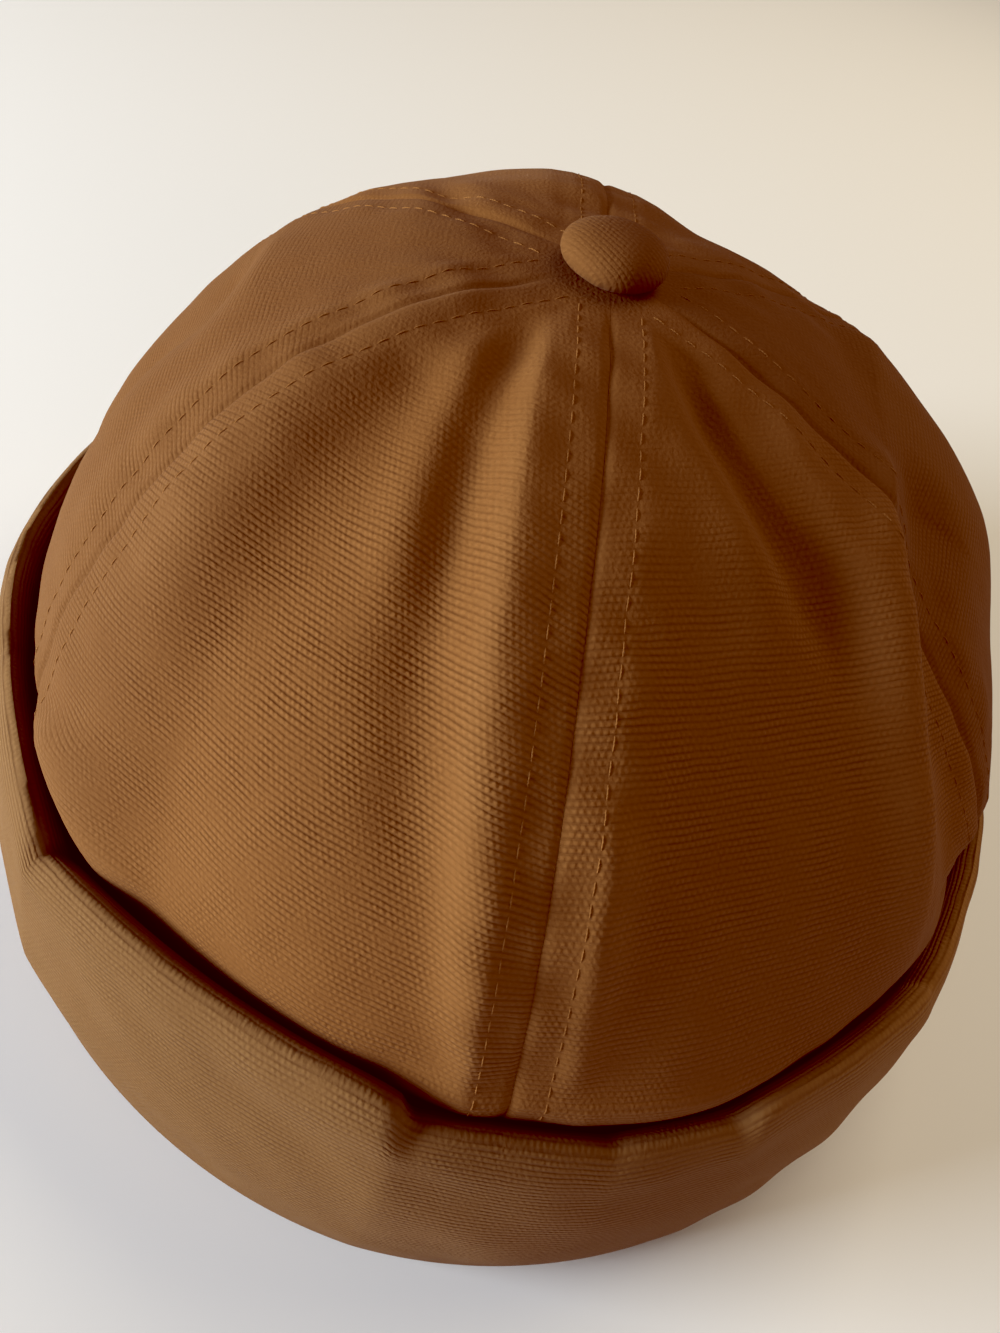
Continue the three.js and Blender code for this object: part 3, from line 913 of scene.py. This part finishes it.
    def joined(self, tubes: Array, twist: Array, thread: Finish) -> Piece:
        """Joins the stitches' rings into one mesh.

        Args:
            tubes: places in millimetres by stitch, ring and side.
            twist: each place round and along the thread, in the weave's millimetres.
            thread: the finish.

        Returns:
            The stitches of the panel.
        """
        count, rings, sides, _ = tubes.shape
        faces = []
        for base in range(0, count * rings * sides, rings * sides):
            last = base + (rings - 1) * sides
            for here in range(base, last, sides):
                there = here + sides
                for turn in range(sides):
                    after = (turn + 1) % sides
                    faces.append((here + turn, here + after, there + after, there + turn))
            faces.append(tuple(reversed(range(base, base + sides))))
            faces.append(tuple(range(last, last + sides)))
        mesh = bpy.data.meshes.new(self.gore.node + "_stitches")
        mesh.from_pydata((tubes.reshape(-1, 3) * MM).tolist(), [], faces)
        piece = bpy.data.objects.new(mesh.name, mesh)
        bpy.context.scene.collection.objects.link(piece)
        lay_weave(piece, *twist.reshape(-1, 2).T)
        outward(piece)
        smooth(piece)
        piece.data.materials.append(thread)
        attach(piece, BODY)
        return piece


@dataclass
class Cuff:
    """The turned-up strip: sewn edge, foot, face, upper fold and hidden leaf."""

    crown: Crown
    cloth: float = 1.6
    top: float = 53.2
    girdle: float = 96.5
    chord: float = 0.45
    step_width: float = 1
    around: int = 480
    along: int = 96
    bulge: Ripple = Ripple(seed=23, height=0.2, length=46)
    lumps: Ripple = Ripple(seed=29, height=0.12, length=15)
    # Painted light: the cuff's colour is lightened round its right side, standing in for light the
    # floor throws up onto it.
    painted_light_at: float = 58
    painted_light_width: float = 34
    painted_light_share: float = 0.62
    hem_gap: float = 0.3
    face_up: Pair = (4, 16)
    face_out: Pair = (7.5, 11)

    def places(self) -> tuple[CuffPlace, ...]:
        """The cloth's middle line, from the edge at the crown's hem to the end of the leaf."""
        half = self.cloth / 2
        return (
            CuffPlace("sewn edge", -0.7, self.crown.hem_at - self.hem_gap),
            CuffPlace("inner wall", -0.7, 4.4),
            CuffPlace("foot inside", 0.8, 1.7),
            CuffPlace("foot starts", 3, half),
            CuffPlace("foot ends", 12, half, 0, 0, 0.3),
            CuffPlace("foot outside", 14.6, 2.8, 0.05, 0, 0.7),
            CuffPlace("low face", 15.7, 8.5, 0.15, 0, 1),
            CuffPlace("middle face", 16.4, 19, 0.4, 0, 1),
            CuffPlace("full face", 15.4, 31, 0.65, 0, 0.9),
            CuffPlace("high face", 13.2, 42, 0.85, 0.06, 0.7),
            CuffPlace("fold outside", 11.2, 49.5, 1, 0.65, 0.5),
            CuffPlace("fold top", 9.0, self.top - half, 1, 1, 0.2),
            CuffPlace("fold inside", 7.1, 50, 1, 1),
            CuffPlace("leaf", 6.6, 44, 0.8, 0.4),
            CuffPlace("leaf end", 5.0, 24, 0.3),
        )

    def line(self) -> Array:
        """The middle line as a smooth curve: out, up, follow, crisp and full at each row."""
        stops = np.array([astuple(place)[1:] for place in self.places()])
        run = run_along(stops[:, :2])
        slope = np.gradient(stops, run, axis=0)
        at = np.linspace(0, run[-1], self.along + 1)
        span = np.clip(np.searchsorted(run, at, side="right") - 1, 0, len(run) - 2)
        step = (run[span + 1] - run[span])[:, None]
        share = ((at - run[span]) / step[:, 0])[:, None]
        before, after = stops[span], stops[span + 1]
        curve = (
            (2 * share**3 - 3 * share**2 + 1) * before
            + (share**3 - 2 * share**2 + share) * step * slope[span]
            + (3 * share**2 - 2 * share**3) * after
            + (share**3 - share**2) * step * slope[span + 1]
        )
        curve[:, 1] = np.maximum(curve[:, 1], self.cloth / 2)
        return curve

    def runs(self, azimuth: Array) -> tuple[Array, Array, Array, Array]:
        """How the cuff's upper fold runs straight from corner to corner.

        Args:
            azimuth: degrees from the front seam.

        Returns:
            How far the cloth rises along the runs, how far its fold and how far its face stand
            outside their plain line, and how far the fold alone rises or sinks at the corners.
        """
        first = np.array([corner.azimuth for corner in CORNERS], dtype=float)
        turns = np.concatenate([first, [first[0] + 360]])
        place = first[0] + (azimuth - first[0]) % 360
        run = np.clip(np.searchsorted(turns, place, side="right") - 1, 0, len(first) - 1)
        half = (turns[run + 1] - turns[run]) / 2
        off = (place - turns[run]) / half - 1
        sagitta = self.girdle * (1 - np.cos(np.radians(half)))
        outs = [corner.out for corner in CORNERS]
        bow = np.interp(place, first, outs, period=360) - self.chord * sagitta * (1 - off**2)
        bulk = np.interp(place, first, [corner.bulk for corner in CORNERS], period=360)
        courses = [corner.rise + corner.step / 2 for corner in CORNERS]
        course = np.interp(place, first, courses, period=360)
        sides = np.stack([first - self.step_width, first + self.step_width], axis=1).ravel()
        rises = np.array([(corner.rise, corner.rise + corner.step) for corner in CORNERS]).ravel()
        notch = np.interp(place, sides, rises, period=360) - course
        for corner in CORNERS:
            away = np.abs(turned(azimuth - corner.azimuth))
            notch = notch - corner.drop * np.exp(-away / corner.width)
        return course, bow, bulk, notch

    def shape(self, azimuth: Array, line: Array) -> tuple[Array, Array]:
        """The middle of the cloth round the crown.

        Args:
            azimuth: degrees from the front seam.
            line: out, up, follow, crisp and full of each place, one to a row.

        Returns:
            Points in millimetres, and the swell of the face at each.
        """
        out, up, follow, crisp, full = line.T
        course, bow, bulk, notch = self.runs(azimuth)
        wall = float(self.crown.profile(np.float64(self.crown.hem_reach))[0])
        up = up + course * follow + notch * crisp
        radius = wall + out + bow * follow + bulk * full
        angle = np.radians(azimuth)
        back = -radius * self.crown.depth_ratio * np.cos(angle)
        plain = np.stack([radius * np.sin(angle), back, up], axis=1)
        face = smoothstep(up, *self.face_up) * smoothstep(out, *self.face_out)
        swell = (self.bulge.at(plain) + self.lumps.at(plain)) * face
        radial = np.stack([np.sin(angle), -np.cos(angle), 0 * angle], axis=1)
        return plain + radial * swell[:, None], swell

    def build(self, canvas: Finish) -> None:
        """Makes the cuff and dresses it.

        Args:
            canvas: the finish.
        """
        cuff, column, row = grid("cuff_cloth", self.around, self.along)
        line = self.line()
        places, swell = self.shape(column * 360 / self.around, line[row])
        move(cuff, places)
        run = run_along(line[:, :2])
        girth = 2 * math.pi * self.girdle * math.sqrt(self.crown.depth_ratio)
        lay_weave(cuff, column / self.around * girth, run[row])
        mark(cuff, "crest", swell)
        mark(cuff, "relief", np.ones(len(swell)))
        # Painted light: the colour is made lighter round the cuff's right side.
        right = turned(column * 360 / self.around - self.painted_light_at)
        mark(cuff, "shade", 1 + self.painted_light_share * bell(right, self.painted_light_width))
        outward(cuff, merge_mm=0.01)
        thicken(cuff, self.cloth, 0)
        places = points(cuff) / MM
        places[:, 2] = np.maximum(places[:, 2], 0)
        move(cuff, places)
        smooth(cuff)
        cuff.data.materials.append(canvas)
        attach(cuff, BODY)
        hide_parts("cuff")
        LOG.info("%s: %d faces", cuff.name, len(cuff.data.polygons))


@dataclass
class Button:
    """The covered button at the top of the crown."""

    crown: Crown
    radius: float = 8.75
    height: float = 6.5
    edge: float = 2.6
    seat: float = 0.3
    grain: float = -48
    relief: float = 0.4
    # Painted shade: the button's colour is darkened as a whole for how the light falls on its top.
    shade: float = 0.86
    dome_power: float = 0.7
    pole: float = -0.999
    sharp_angle: float = 80
    uneven: Ripple = Ripple(seed=41, height=0.1, length=9)

    def build(self, canvas: Finish) -> None:
        """Makes the button and dresses it.

        Args:
            canvas: the finish.
        """
        bpy.ops.object.select_all(action="DESELECT")
        bpy.ops.mesh.primitive_uv_sphere_add(segments=96, ring_count=48, radius=1)
        button = bpy.context.active_object
        button.name = button.data.name = "button_cover"
        ball = points(button)
        flat = np.hypot(ball[:, 0], ball[:, 1])
        upper = np.maximum(ball[:, 2], 0)
        lower = np.minimum(ball[:, 2], 0)
        below = 1 - self.edge / self.radius * (1 - np.sqrt(np.maximum(1 - lower**2, 0)))
        wide = np.where(ball[:, 2] > 0, flat**self.dome_power, below)
        wide = np.where(lower < self.pole, 0, wide)
        radius = self.radius * wide / np.maximum(flat, np.finfo(float).eps)
        height = self.edge * (1 + lower) + (self.height - self.edge) * upper
        places = np.stack([ball[:, 0] * radius, ball[:, 1] * radius, height], axis=1)
        away = places - np.array([0, 0, self.edge])
        away /= np.linalg.norm(away, axis=1, keepdims=True)
        places = places + away * self.uneven.at(places)[:, None]
        places[:, 2] = np.maximum(places[:, 2], 0)
        base = np.array([self.crown.lean[0], self.crown.lean[1], self.crown.top + self.seat])
        turn = math.radians(self.grain)
        across = places[:, 0] * math.cos(turn) + (places[:, 1] + places[:, 2]) * math.sin(turn)
        along = (places[:, 1] + places[:, 2]) * math.cos(turn) - places[:, 0] * math.sin(turn)
        lay_weave(button, across, along)
        mark(button, "crest", 0 * flat)
        mark(button, "relief", 0 * flat + self.relief)
        # Painted shade over the whole button.
        mark(button, "shade", 0 * flat + self.shade)
        move(button, places + base)
        outward(button)
        smooth(button, self.sharp_angle)
        button.data.materials.append(canvas)
        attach(button, BODY)
        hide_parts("button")
        LOG.info("%s: %d faces", button.name, len(button.data.polygons))


@dataclass(frozen=True)
class AreaLight:
    """A soft light: its place and size in metres, and its power in watts."""

    name: str
    place: tuple[float, float, float]
    size: float
    power: float
    colour: tuple[float, float, float] = (1, 1, 1)


@dataclass
class Studio:
    """The floor, the soft lights and the camera, which stands close and low and is held at a slant."""

    aim: Vector = field(default_factory=lambda: Vector((0, 0, 0.055)))
    distance: float = 0.2045
    elevation: float = 42.24
    azimuth: float = -11.19
    pan: float = -0.76
    tilt: float = -5.25
    roll: float = -19.8
    lens: float = 36
    sensor: float = 36
    floor_size: float = 6
    sky: Colour = (1, 0.84, 0.66, 1)
    sky_strength: float = 0.12
    lights: tuple[AreaLight, ...] = (
        AreaLight("window", (-1.14, -0.28, 0.18), 0.5, 41),
        AreaLight("warm wall", (0.6, -1.05, 0.24), 1.0, 5.0, (1, 0.7, 0.4)),
        AreaLight("ceiling", (0.5, 0.6, 1.1), 1.0, 11.5, (1, 0.78, 0.5)),
    )

    def build(self) -> None:
        """Sets up everything round the cap."""
        self.add_floor()
        for light in self.lights:
            self.add_light(light)
        self.add_sky()
        self.add_camera()

    def add_floor(self) -> None:
        """Lays the pale floor."""
        bpy.ops.object.select_all(action="DESELECT")
        bpy.ops.mesh.primitive_plane_add(size=self.floor_size)
        floor = bpy.context.active_object
        floor.name = "floor"
        floor.data.materials.append(PaleGround().build())

    def add_light(self, light: AreaLight) -> None:
        """Hangs one soft light and turns it to the cap."""
        bpy.ops.object.select_all(action="DESELECT")
        bpy.ops.object.light_add(type="AREA", location=light.place)
        lamp = bpy.context.active_object
        lamp.name = light.name
        lamp.data.shape = "SQUARE"
        lamp.data.size = light.size
        lamp.data.energy = light.power
        lamp.data.color = light.colour
        lamp.rotation_euler = (self.aim - lamp.location).to_track_quat("-Z", "Y").to_euler()

    def add_sky(self) -> None:
        """Lights the room evenly."""
        world = bpy.context.scene.world or bpy.data.worlds.new("room")
        bpy.context.scene.world = world
        world.use_nodes = True
        ground = world.node_tree.nodes["Background"]
        ground.inputs["Color"].default_value = self.sky
        ground.inputs["Strength"].default_value = self.sky_strength

    def add_camera(self) -> None:
        """Places the camera where the picture was taken from."""
        turn = Matrix.Rotation(math.radians(self.azimuth), 3, "Z")
        rise = math.radians(self.elevation)
        forward = turn @ Vector((0, math.cos(rise), -math.sin(rise)))
        right = turn @ Vector((1, 0, 0))
        place = self.aim - forward * self.distance
        up = right.cross(forward)
        forward, right = self.swung(forward, right, self.pan)
        forward, up = self.swung(forward, up, self.tilt)
        up, right = self.swung(up, right, self.roll)
        bpy.ops.object.select_all(action="DESELECT")
        bpy.ops.object.camera_add(location=place)
        camera = bpy.context.active_object
        camera.name = "camera"
        camera.data.sensor_fit = "HORIZONTAL"
        camera.data.sensor_width = self.sensor
        camera.data.lens = self.lens
        camera.data.clip_start = 0.01
        camera.rotation_euler = Matrix((right, up, -forward)).transposed().to_euler()
        bpy.context.scene.camera = camera

    @staticmethod
    def swung(first: Vector, second: Vector, angle: float) -> tuple[Vector, Vector]:
        """Two square directions turned in their own plane, the first towards the second."""
        cosine, sine = math.cos(math.radians(angle)), math.sin(math.radians(angle))
        return cosine * first + sine * second, cosine * second - sine * first


def main() -> None:
    """Builds the cap and its studio."""
    logging.basicConfig(level=logging.INFO, format="%(message)s")
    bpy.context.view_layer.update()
    grade = bpy.context.scene.view_settings
    grade.view_transform = "Standard"
    grade.use_curve_mapping = True
    grade.curve_mapping.black_level = (-0.01, 0.014, 0.008)
    grade.curve_mapping.update()
    Studio().build()
    crown = Crown()
    crown_canvas = Canvas("crown_canvas").build()
    # Painted light: the cuff's canvas is a lighter, less saturated copy of the crown's, standing in
    # for the light the floor throws up onto the cuff.
    cuff_canvas = Canvas(
        "cuff_canvas",
        yarn=(0.131, 0.0728, 0.024, 1),
        hollow=(0.087, 0.0459, 0.0156, 1),
        faded=(0.164, 0.092, 0.0355, 1),
        row_share=0.75,
        float_share=0.26,
    ).build()
    button_canvas = Canvas("button_canvas").build()
    thread = Thread("brown_thread").build()
    Cuff(crown).build(cuff_canvas)
    Button(crown).build(button_canvas)
    for gore in GORES:
        CrownPanel(gore, crown).build(crown_canvas, thread)


if __name__ == "__main__":
    main()
